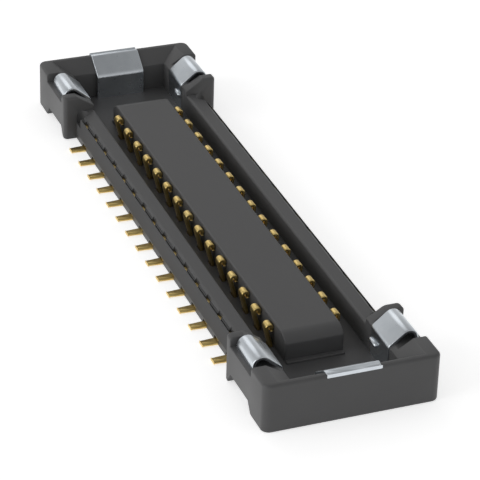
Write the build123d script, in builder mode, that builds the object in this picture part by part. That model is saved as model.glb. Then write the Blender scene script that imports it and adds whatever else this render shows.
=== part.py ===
"""Fine-pitch board-to-board receptacle with two rows of spring contacts.

X runs along the connector, Y across it and Z up. The origin is the middle of the
footprint on the board surface, which the solder tails and the housing feet stand on.
"""
import os

from build123d import *

# Rows of contacts, and how far the rest stands from the last contact of a row
pitch = 0.35
contacts_per_row = 15
block_margin = 0.31
island_margin = 0.375

# End blocks of the moulded housing
block_length = 1.09
block_width = 1.93
block_height = 0.555
outer_corner = 0.09
inner_corner = 0.05
top_edge_round = 0.035

# Mating well, with its sloped lead-in at the end blocks
well_width = 1.18
end_wall = 0.263
floor_thickness = 0.10
lead_in_foot = 0.42
end_rim = 0.065
side_rim = 0.16

# Side walls along the contact rows
wall_thickness = 0.223
wall_height = 0.365
ledge_width = 0.04
ledge_drop = 0.035
crown_edge_round = 0.03
scoop_radius = 0.085
scoop_depth = 0.155
scoop_inset = 0.043

# Centre island that the mating half slides over
island_width = 0.655
island_height = 0.395
island_shoulder_length = 0.17
island_shoulder_drop = 0.085
island_edge_round = 0.018
plinth_length = 0.055
plinth_height = 0.125

# Contacts: tail, retention post, leaning spring arm and domed tip
contact_width = 0.108
contact_thickness = 0.035
contact_clearance = 0.008
arm_stand_off = 0.094
arm_foot_rise = 0.02
arm_shoulder_drop = 0.07
arm_bend = 0.04
dome_drop = 0.02
dome_flat = 0.001
tip_gap = 0.005
tip_length = 0.085
beam_lift = 0.02
beam_bend = 0.03
tail_reach = 0.171
post_cover = 0.013
post_clearance = 0.003
post_drop = 0.06
groove_width = 0.014
groove_depth = 0.04
groove_overrun = 0.12

# Stamped metal fitting at each end
fitting_thickness = 0.04
strap_width = 0.60
strap_proud = 0.012
strap_flat = 0.087
strap_gap = 0.032
strap_top_bend = 0.035
strap_fold = 0.055
base_inset = 0.023
base_bend = 0.03
saddle_length = 0.447
saddle_setback = 0.476
saddle_inset = 0.053
saddle_proud = 0.015
saddle_rise = 0.116
saddle_crown_bend = 0.085
saddle_fold_rise = 0.002
saddle_fold = 0.055
saddle_root = 0.15
solder_tab_length = 0.30
solder_tab_inset = 0.10
lock_boss_length = 0.18
lock_boss_inset = 0.01
lock_boss_height = 0.28
lock_boss_radius = 0.035

# Saddle seats and foot arches of the end blocks
seat_height = 0.45
seat_gap_inner = 0.042
seat_gap_outer = 0.09
arch_height = 0.125
arch_depth = 0.31
arch_margin_inner = 0.09
arch_margin_outer = 0.10
arch_slant_inner = 0.075
arch_slant_outer = 0.09

# Places along the connector, worked out from the driving dimensions
row_half = (contacts_per_row - 1) * pitch / 2
row_places = [index * pitch - row_half for index in range(contacts_per_row)]
block_inner_end = row_half + block_margin
end_face = block_inner_end + block_length
block_centre = end_face - block_length / 2
well_end = end_face - end_wall
lead_in_end = end_face - end_rim
island_end = row_half + island_margin
island_flat_end = island_end - island_shoulder_length
strap_slope_start = end_face - strap_flat
strap_line = well_end - strap_gap - fitting_thickness / 2
saddle_end = end_face - saddle_setback
saddle_start = saddle_end - saddle_length
saddle_middle = saddle_end - saddle_length / 2
seat_start = saddle_start - seat_gap_inner
seat_end = saddle_end + seat_gap_outer
tab_start = saddle_middle - solder_tab_length / 2
tab_end = saddle_middle + solder_tab_length / 2

# Places across the connector and heights
wall_outer = well_width / 2 + wall_thickness
lead_in_side = block_width / 2 - side_rim
lead_in_slope = (block_height - lead_in_foot) / (lead_in_end - well_end)
ledge_height = wall_height - ledge_drop
arm_outer = island_width / 2 + arm_stand_off
arm_foot = island_width / 2 + contact_clearance + contact_thickness / 2
dome_top = island_height - dome_drop
post_outer = wall_outer - post_cover
post_middle = post_outer - contact_thickness / 2
post_top = wall_height - post_drop
passage_inner = arm_foot - contact_thickness / 2 - contact_clearance

ends = (1, -1)
sides = (-1, 1)
over = 0.1
pick_margin = 0.001


def make_contact(side, place):
    """One blanked contact: tail, retention post, leaning spring arm and domed tip."""
    half = contact_thickness / 2
    beam = beam_lift + half
    arm = arm_outer - half
    tip = island_width / 2 + tip_gap + half
    crown = dome_top - half
    tail_end = wall_outer + tail_reach
    dome_bend = (arm - tip - dome_flat) / 2
    with BuildPart() as contact:
        with BuildSketch(Plane.YZ.offset(place)):
            with BuildLine():
                FilletPolyline(
                    (side * tail_end, half),
                    (side * post_outer, half),
                    (side * (post_outer - 2 * beam_lift), beam),
                    (side * arm_foot, beam),
                    (side * arm_foot, floor_thickness + arm_foot_rise),
                    (side * arm, dome_top - arm_shoulder_drop),
                    (side * arm, crown),
                    (side * tip, crown),
                    (side * tip, dome_top - tip_length),
                    radius=[
                        beam_lift,
                        beam_lift,
                        beam_bend,
                        arm_bend,
                        arm_bend,
                        dome_bend,
                        dome_bend,
                    ],
                )
            trace(line_width=contact_thickness)
            with Locations((side * post_middle, (half + post_top) / 2)):
                Rectangle(contact_thickness, post_top - half)
        extrude(amount=contact_width / 2, both=True)
    return contact


def make_fitting(end):
    """One stamped and folded fitting: base, end strap, two saddles and solder tabs."""
    half = fitting_thickness / 2
    strap_top_line = block_height + strap_proud - half
    strap_fold_height = strap_top_line - (strap_slope_start - strap_line) * lead_in_slope
    outer_leg = block_width / 2 - saddle_inset - half
    inner_leg = well_width / 2 - saddle_proud + half
    base_start = saddle_start + base_inset
    with BuildPart() as fitting:
        with BuildSketch(Plane.XZ):
            with BuildLine():
                FilletPolyline(
                    (end * end_face, strap_top_line),
                    (end * strap_slope_start, strap_top_line),
                    (end * strap_line, strap_fold_height),
                    (end * strap_line, half),
                    (end * base_start, half),
                    radius=[strap_top_bend, strap_fold, base_bend],
                )
            trace(line_width=fitting_thickness)
        extrude(amount=strap_width / 2, both=True)
        with BuildSketch(Plane.YZ.offset(end * saddle_middle)):
            for side in sides:
                with BuildLine():
                    FilletPolyline(
                        (side * outer_leg, seat_height - saddle_root),
                        (side * outer_leg, block_height + saddle_rise),
                        (side * inner_leg, lead_in_foot + saddle_fold_rise),
                        (side * inner_leg, half),
                        radius=[saddle_crown_bend, saddle_fold],
                    )
                trace(line_width=fitting_thickness)
        extrude(amount=saddle_length / 2, both=True)
        with BuildSketch(Plane.XY):
            with Locations((end * (base_start + strap_line) / 2, 0)):
                Rectangle(strap_line - base_start, 2 * (inner_leg + half))
            with Locations((end * saddle_middle, 0)):
                Rectangle(solder_tab_length, block_width - 2 * solder_tab_inset)
        extrude(amount=fitting_thickness)
        boss_middle = saddle_start + lock_boss_inset + lock_boss_length / 2
        with Locations(
            *[(end * boss_middle, side * (inner_leg - half), lock_boss_height) for side in sides]
        ):
            Cylinder(lock_boss_radius, lock_boss_length, rotation=(0, 90, 0))
    return fitting


fittings = {end: make_fitting(end) for end in ends}

with BuildPart() as housing:
    # End blocks with rounded upright corners and a soft top edge
    with BuildSketch(Plane.XY):
        with Locations((block_centre, 0), (-block_centre, 0)):
            Rectangle(block_length, block_width)
    extrude(amount=block_height)
    uprights = housing.edges().filter_by(Axis.Z)
    fillet(uprights.filter_by(lambda edge: abs(edge.center().X) > block_centre), outer_corner)
    uprights = housing.edges().filter_by(Axis.Z)
    fillet(uprights.filter_by(lambda edge: abs(edge.center().X) < block_centre), inner_corner)
    top_rim = housing.faces().filter_by(Axis.Z).group_by(Axis.Z)[-1].edges()
    fillet(top_rim, top_edge_round)

    # Floor and side walls between the blocks
    with BuildSketch(Plane.YZ):
        with BuildLine():
            Polyline(
                (-wall_outer, 0),
                (-wall_outer, ledge_height),
                (ledge_width - wall_outer, ledge_height),
                (ledge_width - wall_outer, wall_height),
                (wall_outer - ledge_width, wall_height),
                (wall_outer - ledge_width, ledge_height),
                (wall_outer, ledge_height),
                (wall_outer, 0),
                close=True,
            )
        make_face()
    extrude(amount=block_inner_end + over, both=True)

    # Mating well from end wall to end wall, and its lead-in slope
    with BuildSketch(Plane.XY.offset(floor_thickness)):
        Rectangle(2 * well_end, well_width)
    extrude(amount=block_height, mode=Mode.SUBTRACT)
    with BuildSketch(Plane.XY.offset(lead_in_foot)):
        Rectangle(2 * well_end, well_width)
    with BuildSketch(Plane.XY.offset(block_height)):
        Rectangle(2 * lead_in_end, 2 * lead_in_side)
    loft(mode=Mode.SUBTRACT)

    # Rounded edges along both sides of each wall's crown
    level_edges = housing.edges().filter_by(Axis.X)
    fillet(
        level_edges.filter_by(lambda edge: abs(edge.center().Z - wall_height) < pick_margin),
        crown_edge_round,
    )

    # Island with rounded shoulders at both ends, standing on a low plinth
    shoulder_height = island_height - island_shoulder_drop
    with BuildSketch(Plane.XZ):
        with BuildLine():
            Line((-island_end, 0), (island_end, 0))
            Line((island_end, 0), (island_end, shoulder_height))
            TangentArc(
                (island_flat_end, island_height), (island_end, shoulder_height), tangent=(1, 0)
            )
            Line((island_flat_end, island_height), (-island_flat_end, island_height))
            TangentArc(
                (-island_flat_end, island_height), (-island_end, shoulder_height), tangent=(-1, 0)
            )
            Line((-island_end, shoulder_height), (-island_end, 0))
        make_face()
    extrude(amount=island_width / 2, both=True)
    long_edges = housing.edges().filter_by(Axis.X)
    fillet(
        long_edges.filter_by(lambda edge: abs(edge.center().Z - island_height) < pick_margin),
        island_edge_round,
    )
    with BuildSketch(Plane.XY):
        Rectangle(2 * (island_end + plinth_length), island_width)
    extrude(amount=plinth_height)

    # Seats that the saddles bridge, one at each corner
    seat_depth = (block_width - well_width) / 2
    with BuildSketch(Plane.XY.offset(seat_height)):
        with Locations(
            *[
                (end * (seat_start + seat_end) / 2, side * (well_width + seat_depth) / 2)
                for end in ends
                for side in sides
            ]
        ):
            Rectangle(seat_end - seat_start, seat_depth + over)
    extrude(amount=block_height, mode=Mode.SUBTRACT)

    # Arches that leave two feet under each side of the blocks
    for side in sides:
        with BuildSketch(Plane.XZ.offset(-side * block_width / 2)):
            for end in ends:
                roof_start = tab_start - arch_margin_inner
                roof_end = tab_end + arch_margin_outer
                with BuildLine():
                    Polyline(
                        (end * (roof_start - arch_slant_inner), 0),
                        (end * roof_start, arch_height),
                        (end * roof_end, arch_height),
                        (end * (roof_end + arch_slant_outer), 0),
                        close=True,
                    )
                make_face()
        extrude(amount=side * arch_depth, mode=Mode.SUBTRACT)

    # Rounded scoops where the side walls meet the blocks
    with BuildSketch(Plane.XY.offset(wall_height - scoop_depth)):
        with Locations(
            *[
                (end * (block_inner_end - scoop_radius), side * (wall_outer - scoop_inset))
                for end in ends
                for side in sides
            ]
        ):
            Circle(scoop_radius)
    extrude(amount=wall_height, mode=Mode.SUBTRACT)

    # Groove in each wall's ledge, which the retention posts break up
    groove_middle = post_outer + post_clearance - groove_width / 2
    with BuildSketch(Plane.XY.offset(ledge_height - groove_depth)):
        with Locations(*[(0, side * groove_middle) for side in sides]):
            Rectangle(2 * (row_half + groove_overrun), groove_width)
    extrude(amount=wall_height, mode=Mode.SUBTRACT)

    # Passages for the contacts: under the floor, up through the wall and beside the island
    contact_places = [(place, side) for place in row_places for side in sides]
    passage_width = contact_width + 2 * contact_clearance
    beam_passage = wall_outer + over - passage_inner
    with BuildSketch(Plane.XY):
        with Locations(
            *[(place, side * (passage_inner + beam_passage / 2)) for place, side in contact_places]
        ):
            Rectangle(passage_width, beam_passage)
    extrude(amount=beam_lift + contact_thickness + contact_clearance, mode=Mode.SUBTRACT)
    with BuildSketch(Plane.XY):
        with Locations(*[(place, side * arm_foot) for place, side in contact_places]):
            Rectangle(passage_width, contact_thickness + 2 * contact_clearance)
    extrude(amount=floor_thickness, mode=Mode.SUBTRACT)
    with BuildSketch(Plane.XY):
        with Locations(*[(place, side * post_middle) for place, side in contact_places]):
            Rectangle(contact_width + 2 * post_clearance, contact_thickness + 2 * post_clearance)
    extrude(amount=block_height, mode=Mode.SUBTRACT)

    # The housing is moulded round the two fittings
    for end in ends:
        add(fittings[end].part, mode=Mode.SUBTRACT)

os.makedirs("parts", exist_ok=True)

housing.part.label = "housing"
export_step(housing.part, "parts/housing.step")

for end, name in zip(ends, ("end_fitting_near", "end_fitting_far")):
    fitting = fittings[end]
    fitting.part.label = name
    export_step(fitting.part, f"parts/{name}.step")

for side, row in zip(sides, ("left", "right")):
    for number, place in enumerate(row_places, start=1):
        contact = make_contact(side, place)
        contact.part.label = f"contact_{row}_{number:02d}"
        export_step(contact.part, f"parts/{contact.part.label}.step")
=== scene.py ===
import math

import bmesh
import bpy
from mathutils import Matrix, Vector


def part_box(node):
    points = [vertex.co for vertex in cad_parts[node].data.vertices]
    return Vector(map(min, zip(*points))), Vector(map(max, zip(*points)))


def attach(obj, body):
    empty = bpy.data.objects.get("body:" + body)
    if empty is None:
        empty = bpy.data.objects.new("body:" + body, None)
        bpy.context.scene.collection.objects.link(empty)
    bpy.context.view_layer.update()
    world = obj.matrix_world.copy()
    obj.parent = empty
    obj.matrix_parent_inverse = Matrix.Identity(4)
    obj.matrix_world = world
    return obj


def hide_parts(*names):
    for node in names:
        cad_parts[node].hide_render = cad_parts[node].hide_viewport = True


# Looks of a fine-pitch board-to-board receptacle with two rows of spring contacts.
# X runs along the connector, Y across it and Z up. Meshes are made in millimetres and
# scaled to the frame's metres when they are finished.

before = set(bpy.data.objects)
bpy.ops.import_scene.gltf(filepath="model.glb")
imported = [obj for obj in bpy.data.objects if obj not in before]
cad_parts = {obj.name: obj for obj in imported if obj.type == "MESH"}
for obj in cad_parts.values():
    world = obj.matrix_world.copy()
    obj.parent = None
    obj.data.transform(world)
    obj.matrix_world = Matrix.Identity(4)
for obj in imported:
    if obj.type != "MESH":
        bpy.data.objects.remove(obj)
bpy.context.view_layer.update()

MM = 0.001


def frame_box(node):
    """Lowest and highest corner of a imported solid, in millimetres."""
    low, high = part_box(node)
    return low / MM, high / MM


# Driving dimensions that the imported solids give
housing_high = frame_box("housing")[1]
end_face = housing_high.x
block_width = 2 * housing_high.y
block_height = housing_high.z
contact_low, contact_high = frame_box("contact_right_01")
contact_width = contact_high.x - contact_low.x
dome_top = contact_high.z
tail_end = contact_high.y
contact_nodes = sorted(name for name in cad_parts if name.startswith("contact_"))
left_places = [
    sum(corner.x for corner in frame_box(name)) / 2
    for name in contact_nodes
    if name.startswith("contact_left_")
]

# End blocks
block_length = 1.09
outer_corner = 0.09
inner_corner = 0.05
top_edge_round = 0.035
foot_edge_round = 0.012
block_inner_end = end_face - block_length
block_centre = end_face - block_length / 2

# Mating well and its lead-in
well_half = 0.59
well_end = end_face - 0.263
floor_thickness = 0.10
lead_in_foot = 0.42
lead_in_end = end_face - 0.065
lead_in_side = block_width / 2 - 0.16
lead_in_slope = (block_height - lead_in_foot) / (lead_in_end - well_end)

# Side walls, and where the skin of their outer faces turns matt
wall_outer = well_half + 0.223
wall_height = 0.365
crown_outer = wall_outer - 0.04
crown_edge_round = 0.03
crown_cut_gap = 0.002
wall_foot = 0.08
skin_margin = 0.012
skin_depth = 0.006
ledge_height = wall_height - 0.035
scoop_radius = 0.085
scoop_bottom = wall_height - 0.155
scoop_line = wall_outer - 0.043
scoop_bite = 0.004
scoop_rise = 0.02

# Centre island
island_half = 0.3275
island_height = 0.395
island_end = max(left_places) + 0.375
island_flat_end = island_end - 0.17
island_shoulder = island_height - 0.085
island_edge_round = 0.018
plinth_end = island_end + 0.055
plinth_height = 0.125

# Contacts
contact_thickness = 0.035
contact_clearance = 0.008
contact_coin = 0.008
arm_line = island_half + 0.094 - contact_thickness / 2
arm_foot = island_half + contact_clearance + contact_thickness / 2
arm_foot_height = floor_thickness + 0.02
arm_shoulder = dome_top - 0.07
arm_bend = 0.04
tip_line = island_half + 0.005 + contact_thickness / 2
tip_end = dome_top - 0.085
dome_bend = (arm_line - tip_line - 0.001) / 2
beam_lift = 0.02
beam_bend = 0.03
post_outer = wall_outer - 0.013
post_clearance = 0.003
post_top = wall_height - 0.06
groove_inner = post_outer + post_clearance - 0.014
groove_floor = ledge_height - 0.04
groove_end = max(left_places) + 0.12

# End fittings
fitting_thickness = 0.04
fitting_coin = 0.01
strap_width = 0.60
strap_proud = 0.012
strap_slope_start = end_face - 0.087
strap_line = well_end - 0.032 - fitting_thickness / 2
strap_top_bend = 0.035
strap_fold = 0.055
saddle_length = 0.447
saddle_end = end_face - 0.476
saddle_start = saddle_end - saddle_length
saddle_middle = saddle_end - saddle_length / 2
saddle_outer_leg = block_width / 2 - 0.053 - fitting_thickness / 2
saddle_inner_leg = well_half - 0.015 + fitting_thickness / 2
saddle_crown = block_height + 0.116
saddle_crown_bend = 0.085
saddle_fold_height = lead_in_foot + 0.002
saddle_fold = 0.055
base_start = saddle_start + 0.023
base_bend = 0.03
tab_half = 0.15
tab_reach = block_width / 2 - 0.10
boss_length = 0.18
boss_radius = 0.035
boss_middle = saddle_start + 0.01 + boss_length / 2
boss_height = 0.28
base_inset = 0.002
base_skin = 0.001
tab_skin = 0.002

# Seats and foot arches of the end blocks
seat_height = 0.45
seat_root = 0.30
seat_overlap = 0.05
seat_start = saddle_start - 0.042
seat_end = saddle_end + 0.09
arch_height = 0.125
arch_depth = 0.31
arch_roof_start = saddle_middle - tab_half - 0.09
arch_roof_end = saddle_middle + tab_half + 0.10
arch_foot_start = arch_roof_start - 0.075
arch_foot_end = arch_roof_end + 0.09

# Fineness of the meshes. Coins and bosses have their turns and tilts in degrees.
over = 0.1
mould_edge_round = 0.011
mould_edge_turn = math.radians(25)
island_edge_turn = math.radians(60)
flat_turn = math.radians(0.5)
weld_distance = 1e-5
turn_step = math.radians(9)
smooth_limit = math.radians(32)
corner_steps = 8
rim_steps = 6
shoulder_steps = 10
scoop_steps = 32
coin_turn = 30
coin_tilts = (80, 55, 30, 0)
boss_turn = 20
boss_tilts = range(-80, 81, boss_turn)
ends = (1, -1)
sides = (-1, 1)

# Studio and looks
floor_half = 600
view_depth = 2000
floor_glow = 0.56
noise_low = 0.3
noise_high = 0.7
matt_roughness = 0.9


def flat_outline(low_a, high_a, low_b, high_b):
    """Corners of a rectangle in a plane."""
    return [(low_a, low_b), (high_a, low_b), (high_a, high_b), (low_a, high_b)]


def lift(outline, axis, height):
    """Puts a flat outline into space, square to axis at height along it."""
    order = {"X": lambda a, b: (height, a, b), "Y": lambda a, b: (a, height, b)}
    order["Z"] = lambda a, b: (a, b, height)
    return [order[axis](a, b) for a, b in outline]


def skin(name, rings):
    """A closed mesh over rings of equally many points, with a flat face at each end."""
    count = len(rings[0])
    points = [point for ring in rings for point in ring]
    faces = [tuple(range(count)), tuple(range(len(points) - count, len(points)))]
    for ring in range(len(rings) - 1):
        for step in range(count):
            here = ring * count + step
            after = ring * count + (step + 1) % count
            faces.append((here, after, after + count, here + count))
    mesh = bpy.data.meshes.new(name)
    mesh.from_pydata(points, [], faces)
    shape = bmesh.new()
    shape.from_mesh(mesh)
    bmesh.ops.recalc_face_normals(shape, faces=shape.faces)
    shape.to_mesh(mesh)
    shape.free()
    piece = bpy.data.objects.new(name, mesh)
    bpy.context.scene.collection.objects.link(piece)
    return piece


def prism(name, outline, axis, start, stop):
    """A straight prism of a flat outline."""
    return skin(name, [lift(outline, axis, start), lift(outline, axis, stop)])


def merge(name, pieces):
    """One object that holds the meshes of several."""
    shape = bmesh.new()
    for piece in pieces:
        shape.from_mesh(piece.data)
        bpy.data.objects.remove(piece)
    mesh = bpy.data.meshes.new(name)
    shape.to_mesh(mesh)
    shape.free()
    merged = bpy.data.objects.new(name, mesh)
    bpy.context.scene.collection.objects.link(merged)
    return merged


def combine(piece, other, operation):
    """Joins other to piece, or cuts it out of piece, and removes other."""
    modifier = piece.modifiers.new(operation, "BOOLEAN")
    modifier.operation = operation
    modifier.solver = "EXACT"
    modifier.object = other
    bpy.context.view_layer.update()
    evaluated = piece.evaluated_get(bpy.context.evaluated_depsgraph_get())
    mesh = bpy.data.meshes.new_from_object(evaluated)
    piece.modifiers.clear()
    piece.data = mesh
    bpy.data.objects.remove(other)


def soften(piece, radius, least_turn, segments=3):
    """Rounds each outward edge of piece that turns by more than least_turn."""
    shape = bmesh.new()
    shape.from_mesh(piece.data)
    bmesh.ops.remove_doubles(shape, verts=shape.verts, dist=weld_distance)
    bmesh.ops.dissolve_limit(
        shape, angle_limit=flat_turn, verts=shape.verts, edges=shape.edges
    )
    chosen = [
        edge
        for edge in shape.edges
        if edge.is_manifold and edge.calc_face_angle_signed() > least_turn
    ]
    bmesh.ops.bevel(
        shape,
        geom=chosen,
        offset=radius,
        offset_type="OFFSET",
        segments=segments,
        profile=0.5,
        affect="EDGES",
        clamp_overlap=False,
    )
    shape.to_mesh(piece.data)
    shape.free()
    return piece


def rounded_path(points, radii):
    """Points of a flat path whose corners are rounded to radii."""
    corners = [Vector(point) for point in points]
    path = [corners[0]]
    for before, corner, after, radius in zip(corners, corners[1:], corners[2:], radii):
        arrive = (corner - before).normalized()
        leave = (after - corner).normalized()
        turn = arrive.angle(leave)
        centre = corner + (leave - arrive).normalized() * radius / math.cos(turn / 2)
        start = corner - arrive * radius * math.tan(turn / 2) - centre
        sense = 1 if arrive.cross(leave) > 0 else -1
        steps = math.ceil(turn / turn_step)
        for step in range(steps + 1):
            path.append(centre + Matrix.Rotation(sense * turn * step / steps, 2) @ start)
    path.append(corners[-1])
    return path


def coined_section(thickness, width, coin):
    """A strip's section: a rectangle with small round corners."""
    section = []
    for corner in range(4):
        across = 1 if corner in (0, 3) else -1
        along = 1 if corner in (0, 1) else -1
        for step in range(4):
            angle = math.radians(90 * corner + coin_turn * step)
            section.append(
                (
                    across * (thickness / 2 - coin) + coin * math.cos(angle),
                    along * (width / 2 - coin) + coin * math.sin(angle),
                )
            )
    return section


def strip(name, path, thickness, width, coin, place):
    """A flat strip that follows a path, with coined edges and ends.

    place puts the two path coordinates and the one across the strip into space.
    """
    starts = [(path[0], path[1], gap, shrink) for gap, shrink in end_steps(coin)]
    finishes = [(path[-1], path[-2], gap, shrink) for gap, shrink in reversed(end_steps(coin))]
    rings = []
    for tip, inward, gap, shrink in starts:
        direction = (inward - tip).normalized()
        rings.append((tip + direction * gap, direction, shrink))
    for before, point, after in zip(path, path[1:], path[2:]):
        direction = ((after - point).normalized() + (point - before).normalized()).normalized()
        rings.append((point, direction, 0))
    for tip, inward, gap, shrink in finishes:
        direction = (tip - inward).normalized()
        rings.append((tip - direction * gap, direction, shrink))
    placed = []
    for point, direction, shrink in rings:
        normal = Vector((-direction.y, direction.x))
        section = coined_section(thickness - 2 * shrink, width - 2 * shrink, coin - shrink)
        placed.append(
            [place(*(point + normal * offset), across) for offset, across in section]
        )
    return skin(name, placed)


def end_steps(coin):
    """Distance from a strip's end and shrinkage of its section there, for a coined end."""
    return [
        (coin * (1 - math.sin(math.radians(tilt))), coin * (1 - math.cos(math.radians(90 - tilt))))
        for tilt in coin_tilts
    ]


def end_block(end):
    """One end block before anything is cut: round uprights and a soft top rim."""

    def outline(inset):
        points = []
        for corner in range(4):
            across = 1 if corner in (0, 3) else -1
            along = 1 if corner in (0, 1) else -1
            radius = outer_corner if across == end else inner_corner
            centre_x = end * block_centre + across * (block_length / 2 - radius)
            centre_y = along * (block_width / 2 - radius)
            for step in range(corner_steps + 1):
                angle = math.radians(90 * corner + 90 / corner_steps * step)
                points.append(
                    (
                        centre_x + (radius - inset) * math.cos(angle),
                        centre_y + (radius - inset) * math.sin(angle),
                    )
                )
        return points

    levels = [(0, foot_edge_round), (foot_edge_round, 0)]
    for step in range(rim_steps + 1):
        angle = math.radians(90 / rim_steps * step)
        levels.append(
            (
                block_height - top_edge_round * (1 - math.sin(angle)),
                top_edge_round * (1 - math.cos(angle)),
            )
        )
    return skin("end_block", [lift(outline(inset), "Z", height) for height, inset in levels])


def crown_round(edge, inward):
    """Section of a crown's rounded edge, from the crown's top down to its side."""
    turns = [math.radians(90 / rim_steps * step) for step in range(rim_steps + 1)]
    return [
        (
            edge + inward * crown_edge_round * (1 - math.sin(turn)),
            wall_height - crown_edge_round * (1 - math.cos(turn)),
        )
        for turn in turns
    ]


def wall_body():
    """Floor and side walls between the blocks, with the ledge along each crown."""
    half = [(wall_outer, 0), (wall_outer, ledge_height), (crown_outer, ledge_height)]
    half += reversed(crown_round(crown_outer, -1))
    outline = half + [(-across, height) for across, height in reversed(half)]
    return prism("wall_body", outline, "X", -block_inner_end - over, block_inner_end + over)


def crown_cuts():
    """What the rounding takes off each crown's edge along the well."""
    cuts = []
    for side in sides:
        rim = crown_round(well_half, 1)
        beyond = [(well_half - over, rim[-1][1]), (well_half - over, wall_height + over)]
        beyond.append((rim[0][0], wall_height + over))
        outline = [(side * across, height) for across, height in rim + beyond]
        reach = block_inner_end - crown_cut_gap
        cuts.append(prism("crown_cut", outline, "X", -reach, reach))
    return merge("crown_cuts", cuts)


def well():
    """The mating well with its sloped lead-in, as the space to cut."""
    rise = over / lead_in_slope
    side_rise = over * (lead_in_side - well_half) / (block_height - lead_in_foot)
    levels = [
        (floor_thickness, well_end, well_half),
        (lead_in_foot, well_end, well_half),
        (block_height + over, lead_in_end + rise, lead_in_side + side_rise),
    ]
    return skin(
        "well",
        [
            lift(flat_outline(-length, length, -width, width), "Z", height)
            for height, length, width in levels
        ],
    )


def island():
    """Centre island with rounded shoulders at its ends."""
    reach = island_end - island_flat_end
    drop = island_height - island_shoulder
    radius = (reach**2 + drop**2) / (2 * drop)
    sweep = math.asin(reach / radius)
    shoulder = [
        (
            island_flat_end + radius * math.sin(sweep * step / shoulder_steps),
            island_height - radius * (1 - math.cos(sweep * step / shoulder_steps)),
        )
        for step in range(shoulder_steps + 1)
    ]
    foot = floor_thickness / 2
    half = shoulder + [(island_end, foot)]
    outline = [(-along, height) for along, height in reversed(half)] + half
    block = prism("island", outline, "Y", -island_half, island_half)
    return soften(block, island_edge_round, island_edge_turn, segments=4)


def plinth():
    """Low step that the island stands on."""
    foot = floor_thickness / 2
    outline = flat_outline(-plinth_end, plinth_end, foot, plinth_height)
    return prism("plinth", outline, "Y", -island_half, island_half)


def block_cuts():
    """Saddle seats and foot arches at the four corners."""
    cuts = []
    for end in ends:
        for side in sides:
            outer = side * (block_width / 2 + over)
            inner = side * (well_half - seat_overlap)
            seat = flat_outline(end * seat_start, end * seat_end, inner, outer)
            cuts.append(prism("seat", seat, "Z", seat_height, block_height + over))
            arch = [
                (end * arch_foot_start, -over),
                (end * arch_foot_start, 0),
                (end * arch_roof_start, arch_height),
                (end * arch_roof_end, arch_height),
                (end * arch_foot_end, 0),
                (end * arch_foot_end, -over),
            ]
            depth = side * (block_width / 2 - arch_depth)
            cuts.append(prism("arch", arch, "Y", depth, outer))
    return merge("block_cuts", cuts)


def wall_scoops():
    """Rounded hollows where the side walls meet the blocks."""
    turns = [math.radians(360 / scoop_steps * step) for step in range(scoop_steps)]
    cuts = []
    for end in ends:
        for side in sides:
            centre = end * (block_inner_end - scoop_radius + scoop_bite)
            rim = [
                (
                    centre + scoop_radius * math.cos(turn),
                    side * scoop_line + scoop_radius * math.sin(turn),
                )
                for turn in turns
            ]
            cuts.append(prism("scoop", rim, "Z", scoop_bottom, wall_height + scoop_rise))
    return merge("wall_scoops", cuts)


def ledge_grooves():
    """A narrow groove along each wall's ledge, just outside the retention posts."""
    cuts = []
    for side in sides:
        outline = flat_outline(
            -groove_end, groove_end, side * groove_inner, side * (post_outer + post_clearance)
        )
        cuts.append(prism("groove", outline, "Z", groove_floor, wall_height))
    return merge("ledge_grooves", cuts)


def contact_cuts(low_u, high_u, high_z, gap):
    """The same passage at each contact on both sides, gap wider than the contact all round."""
    cuts = []
    reach = contact_width / 2 + gap
    for place in left_places:
        for side in sides:
            outline = flat_outline(
                place - reach, place + reach, side * (low_u - gap), side * (high_u + gap)
            )
            cuts.append(prism("passage", outline, "Z", -over, high_z))
    return merge("contact_cuts", cuts)


def fitting_pockets():
    """Room in the housing's underside for the fittings' base plates and tabs."""
    cuts = []
    for end in ends:
        base = flat_outline(end * base_start, end * strap_line, -well_half, well_half)
        cuts.append(prism("base", base, "Z", -over, fitting_thickness))
    pockets = merge("fitting_pockets", cuts)
    tabs = []
    for end in ends:
        start = end * (saddle_middle - tab_half)
        stop = end * (saddle_middle + tab_half)
        tab = flat_outline(start, stop, -tab_reach, tab_reach)
        tabs.append(prism("tab", tab, "Z", -over, fitting_thickness))
    return pockets, merge("tab_pockets", tabs)


def make_housing():
    """The moulded housing with softened edges."""
    housing = end_block(1)
    combine(housing, end_block(-1), "UNION")
    combine(housing, wall_body(), "UNION")
    combine(housing, well(), "DIFFERENCE")
    combine(housing, plinth(), "UNION")
    combine(housing, island(), "UNION")
    combine(housing, block_cuts(), "DIFFERENCE")
    soften(housing, mould_edge_round, mould_edge_turn)
    combine(housing, crown_cuts(), "DIFFERENCE")
    combine(housing, wall_scoops(), "DIFFERENCE")
    combine(housing, ledge_grooves(), "DIFFERENCE")
    half = contact_thickness / 2
    beam_roof = beam_lift + contact_thickness + contact_clearance
    passages = [
        (arm_foot - half, wall_outer + over, beam_roof, contact_clearance),
        (arm_foot - half, arm_foot + half, floor_thickness + over / 2, contact_clearance),
        (post_outer - contact_thickness, post_outer, wall_height + over, post_clearance),
    ]
    for passage in passages:
        combine(housing, contact_cuts(*passage), "DIFFERENCE")
    for pocket in fitting_pockets():
        combine(housing, pocket, "DIFFERENCE")
    housing.name = "housing_moulding"
    return housing


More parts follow.
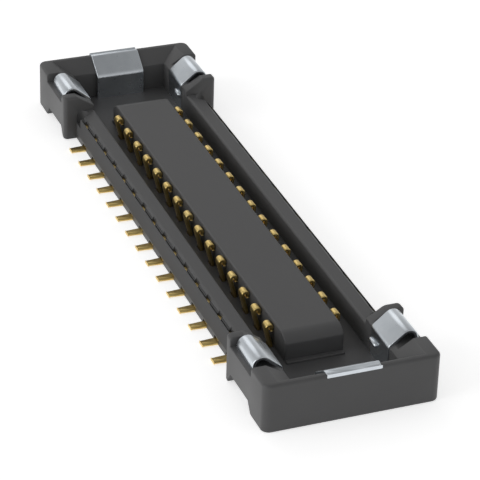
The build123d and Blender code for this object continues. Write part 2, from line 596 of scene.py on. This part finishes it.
def make_contact(name, side, place):
    """One contact: tail, beam, leaning spring arm, dome and tip in one strip, and its post."""
    half = contact_thickness / 2
    beam = beam_lift + half
    crown = dome_top - half
    route = [
        (side * tail_end, half),
        (side * post_outer, half),
        (side * (post_outer - 2 * beam_lift), beam),
        (side * arm_foot, beam),
        (side * arm_foot, arm_foot_height),
        (side * arm_line, arm_shoulder),
        (side * arm_line, crown),
        (side * tip_line, crown),
        (side * tip_line, tip_end),
    ]
    radii = [beam_lift, beam_lift, beam_bend, arm_bend, arm_bend, dome_bend, dome_bend]

    def put(across, height, along):
        return (place + along, across, height)

    path = rounded_path(route, radii)
    contact = strip(name, path, contact_thickness, contact_width, contact_coin, put)
    middle = side * (post_outer - half)
    heights = (half, (half + post_top) / 2, post_top)
    post_path = [Vector((middle, height)) for height in heights]
    post = strip("post", post_path, contact_thickness, contact_width, contact_coin, put)
    combine(contact, post, "UNION")
    return contact


def make_fitting(name, end):
    """One end fitting: strap, saddles, base, solder tabs and lock bosses."""
    half = fitting_thickness / 2
    strap_top = block_height + strap_proud - half
    fold_height = strap_top - (strap_slope_start - strap_line) * lead_in_slope
    strap_route = [
        (end * end_face, strap_top),
        (end * strap_slope_start, strap_top),
        (end * strap_line, fold_height),
        (end * strap_line, half),
        (end * base_start, half),
    ]
    strap_path = rounded_path(strap_route, [strap_top_bend, strap_fold, base_bend])
    fitting = strip(
        name,
        strap_path,
        fitting_thickness,
        strap_width,
        fitting_coin,
        lambda along, height, across: (along, across, height),
    )
    for side in sides:
        saddle_route = [
            (side * saddle_outer_leg, seat_root),
            (side * saddle_outer_leg, saddle_crown),
            (side * saddle_inner_leg, saddle_fold_height),
            (side * saddle_inner_leg, half),
        ]
        saddle = strip(
            "saddle",
            rounded_path(saddle_route, [saddle_crown_bend, saddle_fold]),
            fitting_thickness,
            saddle_length,
            fitting_coin,
            lambda across, height, along: (end * saddle_middle + along, across, height),
        )
        combine(fitting, saddle, "UNION")
        combine(fitting, lock_boss(end, side), "UNION")
    base_half = saddle_inner_leg + half - base_inset
    base = flat_outline(end * base_start, end * (strap_line - half), -base_half, base_half)
    plate = prism("base", base, "Z", base_skin, fitting_thickness - base_skin)
    combine(fitting, plate, "UNION")
    start = end * (saddle_middle - tab_half)
    stop = end * (saddle_middle + tab_half)
    tab = flat_outline(start, stop, -tab_reach, tab_reach)
    tabs = prism("tab", tab, "Z", tab_skin, fitting_thickness - tab_skin)
    combine(fitting, tabs, "UNION")
    return fitting


def lock_boss(end, side):
    """A pressed ridge on the well side of a saddle, with round ends."""
    centre_y = side * (saddle_inner_leg - fitting_thickness / 2)
    rings = []
    half = boss_length / 2
    for tilt in boss_tilts:
        angle = math.radians(tilt)
        reach = (half - boss_radius) * (1 if angle > 0 else -1) if angle else 0
        radius = boss_radius * math.cos(angle)
        along = end * boss_middle + reach + boss_radius * math.sin(angle)
        rings.append(
            [
                (
                    along,
                    centre_y + radius * math.cos(math.radians(turn)),
                    boss_height + radius * math.sin(math.radians(turn)),
                )
                for turn in range(0, 360, boss_turn)
            ]
        )
    return skin("lock_boss", rings)


def shader(name):
    """A new material with its node tree, and its main shader."""
    material = bpy.data.materials.new(name)
    material.use_nodes = True
    tree = material.node_tree
    return material, tree, tree.nodes["Principled BSDF"]


def grain(tree, scale, detail, stretch=(1, 1, 1)):
    """Noise at so many grains to the millimetre, stretched along an axis."""
    coordinates = tree.nodes.new("ShaderNodeTexCoord")
    mapping = tree.nodes.new("ShaderNodeMapping")
    mapping.inputs["Scale"].default_value = [scale / MM * share for share in stretch]
    noise = tree.nodes.new("ShaderNodeTexNoise")
    noise.inputs["Scale"].default_value = 1
    noise.inputs["Detail"].default_value = detail
    tree.links.new(coordinates.outputs["Object"], mapping.inputs["Vector"])
    tree.links.new(mapping.outputs["Vector"], noise.inputs["Vector"])
    return noise


def spread(tree, source, low, high):
    """Maps noise to a range of values."""
    ranged = tree.nodes.new("ShaderNodeMapRange")
    ranged.inputs["From Min"].default_value = noise_low
    ranged.inputs["From Max"].default_value = noise_high
    ranged.inputs["To Min"].default_value = low
    ranged.inputs["To Max"].default_value = high
    tree.links.new(source, ranged.inputs["Value"])
    return ranged.outputs["Result"]


def tint(tree, source, low, high):
    """Maps noise to a range between two colours."""
    ramp = tree.nodes.new("ShaderNodeValToRGB")
    ramp.color_ramp.elements[0].position = noise_low
    ramp.color_ramp.elements[0].color = (*low, 1)
    ramp.color_ramp.elements[1].position = noise_high
    ramp.color_ramp.elements[1].color = (*high, 1)
    tree.links.new(source, ramp.inputs["Fac"])
    return ramp.outputs["Color"]


def bump(tree, source, depth, strength):
    """Turns noise into relief so many millimetres deep."""
    relief = tree.nodes.new("ShaderNodeBump")
    relief.inputs["Strength"].default_value = strength
    relief.inputs["Distance"].default_value = depth * MM
    tree.links.new(source, relief.inputs["Height"])
    return relief.outputs["Normal"]


def compare(tree, source, operation, limit):
    """1 where a length is beyond a limit in millimetres, otherwise 0."""
    test = tree.nodes.new("ShaderNodeMath")
    test.operation = operation
    test.inputs[1].default_value = limit * MM
    tree.links.new(source, test.inputs[0])
    return test.outputs[0]


def wall_skin(tree):
    """1 on the outer faces of the side walls above their foot, otherwise 0."""
    coordinates = tree.nodes.new("ShaderNodeTexCoord")
    split = tree.nodes.new("ShaderNodeSeparateXYZ")
    tree.links.new(coordinates.outputs["Object"], split.inputs[0])
    size = {}
    for axis in ("X", "Y"):
        size[axis] = tree.nodes.new("ShaderNodeMath")
        size[axis].operation = "ABSOLUTE"
        tree.links.new(split.outputs[axis], size[axis].inputs[0])
    tests = [
        compare(tree, size["X"].outputs[0], "LESS_THAN", block_inner_end - skin_margin),
        compare(tree, size["Y"].outputs[0], "GREATER_THAN", wall_outer - skin_depth),
        compare(tree, split.outputs["Z"], "GREATER_THAN", wall_foot),
    ]
    result = tests[0]
    for test in tests[1:]:
        both = tree.nodes.new("ShaderNodeMath")
        both.operation = "MULTIPLY"
        tree.links.new(result, both.inputs[0])
        tree.links.new(test, both.inputs[1])
        result = both.outputs[0]
    return result


def housing_plastic():
    """Dark grey moulded polymer: fine grain, faint cloudiness and matt outer walls."""
    material, tree, main = shader("housing_plastic")
    clouds = grain(tree, 2.2, 3, (0.5, 1, 1))
    fine = grain(tree, 55, 2)
    colour = tint(tree, clouds.outputs["Fac"], (0.087, 0.087, 0.088), (0.097, 0.097, 0.098))
    tree.links.new(colour, main.inputs["Base Color"])
    main.inputs["Specular IOR Level"].default_value = 0.35
    matt = tree.nodes.new("ShaderNodeMix")
    matt.inputs["B"].default_value = matt_roughness
    tree.links.new(wall_skin(tree), matt.inputs["Factor"])
    tree.links.new(spread(tree, clouds.outputs["Fac"], 0.42, 0.5), matt.inputs["A"])
    tree.links.new(matt.outputs["Result"], main.inputs["Roughness"])
    tree.links.new(bump(tree, fine.outputs["Fac"], 0.0012, 0.35), main.inputs["Normal"])
    return material


def fitting_metal():
    """Satin tin plating over rolled sheet: faint grain along the strip."""
    material, tree, main = shader("fitting_metal")
    rolled = grain(tree, 18, 4, (0.12, 1, 1))
    spots = grain(tree, 7, 2)
    main.inputs["Metallic"].default_value = 1
    colour = tint(tree, spots.outputs["Fac"], (0.61, 0.65, 0.69), (0.67, 0.71, 0.745))
    tree.links.new(colour, main.inputs["Base Color"])
    tree.links.new(spread(tree, rolled.outputs["Fac"], 0.27, 0.32), main.inputs["Roughness"])
    tree.links.new(bump(tree, rolled.outputs["Fac"], 0.0004, 0.1), main.inputs["Normal"])
    return material


def contact_gold():
    """Gold plating with a slightly uneven tone."""
    material, tree, main = shader("contact_gold")
    uneven = grain(tree, 9, 3)
    fine = grain(tree, 40, 2)
    main.inputs["Metallic"].default_value = 1
    colour = tint(tree, uneven.outputs["Fac"], (0.73, 0.52, 0.18), (0.83, 0.65, 0.27))
    tree.links.new(colour, main.inputs["Base Color"])
    tree.links.new(spread(tree, uneven.outputs["Fac"], 0.34, 0.42), main.inputs["Roughness"])
    tree.links.new(bump(tree, fine.outputs["Fac"], 0.0008, 0.25), main.inputs["Normal"])
    return material


def finish_piece(piece, material, slot, *nodes):
    """Scales a piece to metres, shades it, and ties it to the frame."""
    piece.data.transform(Matrix.Scale(MM, 4))
    shape = bmesh.new()
    shape.from_mesh(piece.data)
    for edge in shape.edges:
        edge.smooth = edge.is_manifold and edge.calc_face_angle() < smooth_limit
    for face in shape.faces:
        face.smooth = True
    shape.to_mesh(piece.data)
    shape.free()
    piece.data.materials.clear()
    piece.data.materials.append(material)
    weighted = piece.modifiers.new("even_shading", "WEIGHTED_NORMAL")
    weighted.keep_sharp = True
    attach(piece, "root")
    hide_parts(*nodes)


def make_floor():
    """Pale studio floor. It reads as white to the camera and in reflections."""
    outline = flat_outline(-floor_half, floor_half, -floor_half, floor_half)
    mesh = bpy.data.meshes.new("studio_floor")
    mesh.from_pydata([(x * MM, y * MM, 0) for x, y in outline], [], [(0, 1, 2, 3)])
    floor = bpy.data.objects.new("studio_floor", mesh)
    bpy.context.scene.collection.objects.link(floor)
    material, tree, main = shader("studio_floor")
    main.inputs["Base Color"].default_value = (0.9, 0.9, 0.9, 1)
    main.inputs["Roughness"].default_value = 0.9
    main.inputs["Specular IOR Level"].default_value = 0
    glow = tree.nodes.new("ShaderNodeEmission")
    glow.inputs["Color"].default_value = (1, 1, 1, 1)
    paths = tree.nodes.new("ShaderNodeLightPath")
    either = tree.nodes.new("ShaderNodeMath")
    either.operation = "MAXIMUM"
    seen = tree.nodes.new("ShaderNodeMath")
    seen.operation = "MAXIMUM"
    lift_by = tree.nodes.new("ShaderNodeMath")
    lift_by.operation = "MULTIPLY"
    lift_by.inputs[1].default_value = floor_glow
    both = tree.nodes.new("ShaderNodeAddShader")
    tree.links.new(paths.outputs["Is Camera Ray"], either.inputs[0])
    tree.links.new(paths.outputs["Is Glossy Ray"], either.inputs[1])
    tree.links.new(either.outputs[0], seen.inputs[0])
    tree.links.new(paths.outputs["Is Transmission Ray"], seen.inputs[1])
    tree.links.new(seen.outputs[0], lift_by.inputs[0])
    tree.links.new(lift_by.outputs[0], glow.inputs["Strength"])
    tree.links.new(main.outputs[0], both.inputs[0])
    tree.links.new(glow.outputs[0], both.inputs[1])
    tree.links.new(both.outputs[0], tree.nodes["Material Output"].inputs["Surface"])
    mesh.materials.append(material)


def make_world():
    """Studio surroundings: pale near the horizon, dimmer overhead."""
    world = bpy.data.worlds.new("studio")
    bpy.context.scene.world = world
    world.use_nodes = True
    tree = world.node_tree
    background = tree.nodes["Background"]
    coordinates = tree.nodes.new("ShaderNodeTexCoord")
    split = tree.nodes.new("ShaderNodeSeparateXYZ")
    ramp = tree.nodes.new("ShaderNodeValToRGB")
    levels = [(0, 0.70), (0.2, 0.69), (0.5, 0.54), (0.8, 0.37), (1, 0.30)]
    ramp.color_ramp.elements[0].position = levels[0][0]
    ramp.color_ramp.elements[1].position = levels[-1][0]
    for place, _ in levels[1:-1]:
        ramp.color_ramp.elements.new(place)
    for element, (_, level) in zip(ramp.color_ramp.elements, levels):
        element.color = (level, level, level, 1)
    tree.links.new(coordinates.outputs["Generated"], split.inputs[0])
    tree.links.new(split.outputs["Z"], ramp.inputs["Fac"])
    tree.links.new(ramp.outputs["Color"], background.inputs["Color"])


def make_lamp(name, strength, softness, direction):
    """A soft distant lamp that shines from direction."""
    lamp = bpy.data.lights.new(name, "SUN")
    lamp.energy = strength
    lamp.angle = math.radians(softness)
    holder = bpy.data.objects.new(name, lamp)
    holder.rotation_mode = "QUATERNION"
    holder.rotation_quaternion = Vector(direction).to_track_quat("Z", "Y")
    bpy.context.scene.collection.objects.link(holder)


def make_camera():
    """The photograph's view: from the near end and the left, looking down."""
    right = Vector((0.35617253, 0.93400825, 0.02774388))
    up = Vector((-0.47387513, 0.15495741, 0.86685094))
    back = Vector((0.80534681, -0.32189563, 0.49779486))
    place = Vector((22.6252, -8.7429, 13.9131))
    sensor = 36
    image_size = 480
    focal_pixels = 2474.13
    centre_pixel = (243.74, 237.49)
    camera = bpy.data.cameras.new("photo_camera")
    camera.sensor_width = sensor
    camera.lens = focal_pixels / image_size * sensor
    camera.shift_x = (image_size / 2 - centre_pixel[0]) / image_size
    camera.shift_y = (centre_pixel[1] - image_size / 2) / image_size
    camera.clip_start = MM
    camera.clip_end = view_depth * MM
    holder = bpy.data.objects.new("photo_camera", camera)
    turn = Matrix((right, up, back)).transposed().to_4x4()
    holder.matrix_world = Matrix.Translation(place * MM) @ turn
    bpy.context.scene.collection.objects.link(holder)
    bpy.context.scene.camera = holder


make_camera()
make_world()
make_floor()
make_lamp("key", 0.75, 40, (0.0, -0.93, 0.36))
make_lamp("far_fill", 0.18, 30, (-0.80, -0.04, 0.60))

plastic = housing_plastic()
metal = fitting_metal()
gold = contact_gold()

finish_piece(make_housing(), plastic, "housing_plastic", "housing")
for end, name in zip(ends, ("near", "far")):
    fitting = make_fitting(f"{name}_fitting", end)
    finish_piece(fitting, metal, "fitting_metal", f"end_fitting_{name}")
for node in contact_nodes:
    side = -1 if "left" in node else 1
    low, high = frame_box(node)
    contact = make_contact(node.replace("contact_", "spring_"), side, (low.x + high.x) / 2)
    finish_piece(contact, gold, "contact_gold", node)

scene = bpy.context.scene
scene.view_settings.view_transform = "Standard"
